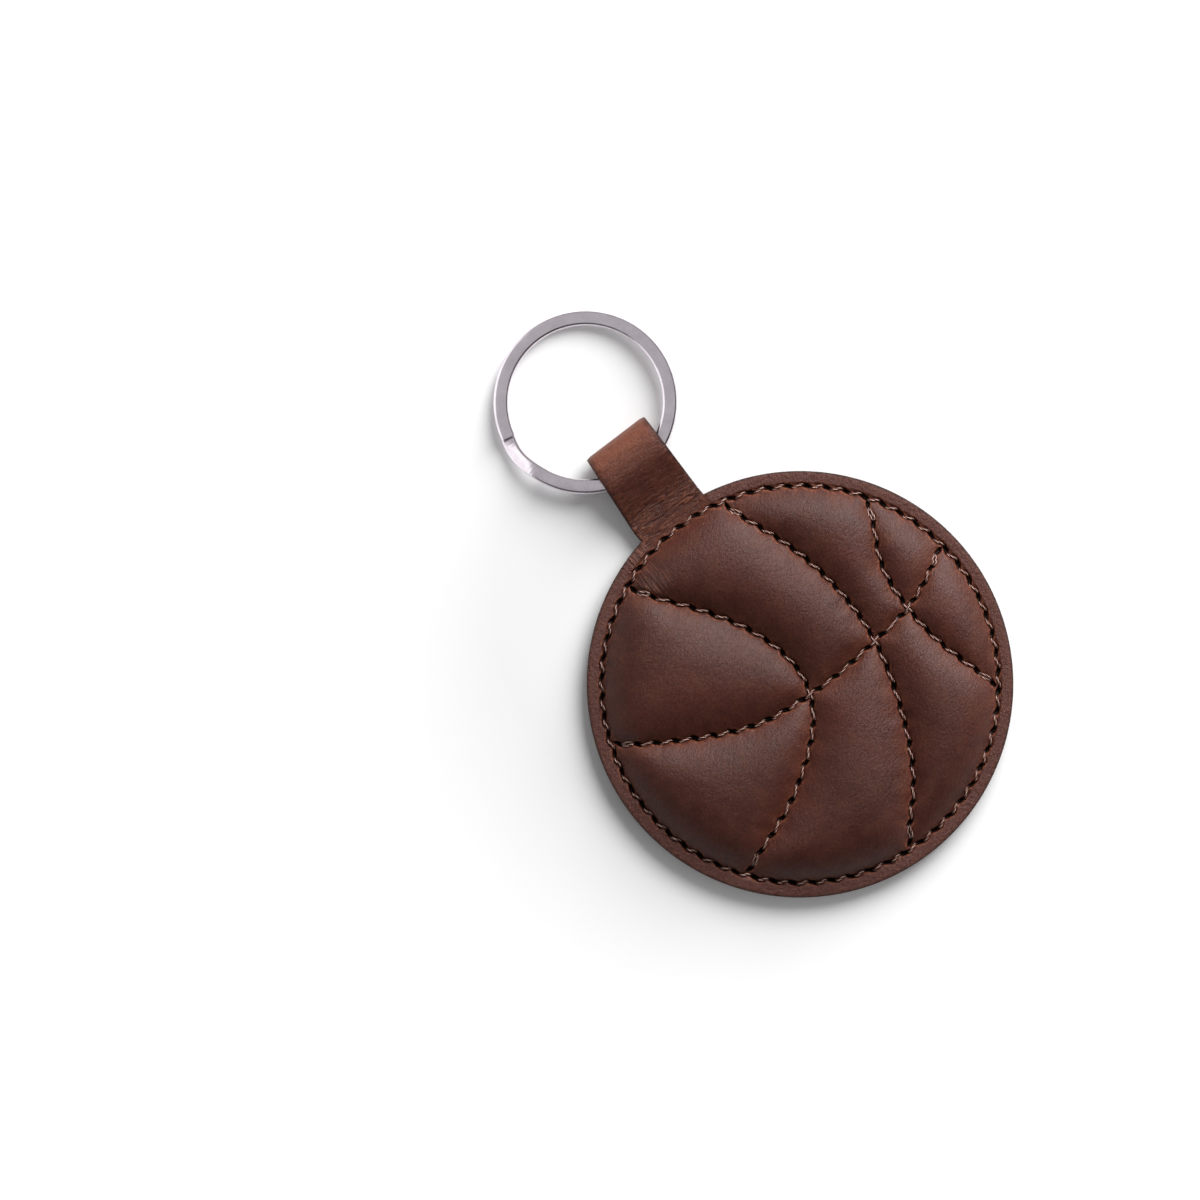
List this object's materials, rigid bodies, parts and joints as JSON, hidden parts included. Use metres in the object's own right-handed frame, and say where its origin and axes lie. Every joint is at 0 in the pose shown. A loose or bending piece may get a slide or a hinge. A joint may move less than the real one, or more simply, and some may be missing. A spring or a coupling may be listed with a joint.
{
  "type": "basketball keychain",
  "caption": "Round quilted leather key fob stitched like a basketball, with a folded leather tab that holds a swinging steel split ring.",
  "frame": {"origin": "centre of the back cover's flat underside", "axes": "+Z out of the quilted face, +Y from the disc's centre along the tab to the split ring"},
  "size_m": [0.075, 0.1158, 0.0086],
  "materials": {
    "leather": "waxed pull-up leather, dark brown, lighter where it is stretched",
    "lining": "matte bonded backing",
    "foam": "matte open foam",
    "thread": "twisted waxed thread",
    "steel": "polished nickel plate"
  },
  "bodies": {
    "fob": {"back_cover": "leather", "lining": "lining", "padding": "foam", "front_cover": "leather", "tab_tail": "leather", "rim_thread": "thread", "rim_bobbin_thread": "thread", "centre_seam_thread": "thread", "left_seam_thread": "thread", "right_seam_thread": "thread", "cross_seam_thread": "thread", "centre_seam_bobbin_thread": "thread", "left_seam_bobbin_thread": "thread", "right_seam_bobbin_thread": "thread", "cross_seam_bobbin_thread": "thread"},
    "tab": {"tab_loop": "leather"},
    "ring": {"split_ring": "steel"}
  },
  "joints": [
    {"name": "tab_flex", "type": "hinge", "parent": "fob", "child": "tab", "pos_m": [0, 0.03925, 0.00235], "axis": [1, 0, 0], "range_deg": [-60, 60], "stiffness_Nm_per_rad": 0.01},
    {"name": "ring_swing", "type": "hinge", "parent": "tab", "child": "ring", "pos_m": [0, 0.04825, 0.00367], "axis": [1, 0, 0], "range_deg": [-120, 120]}
  ]
}
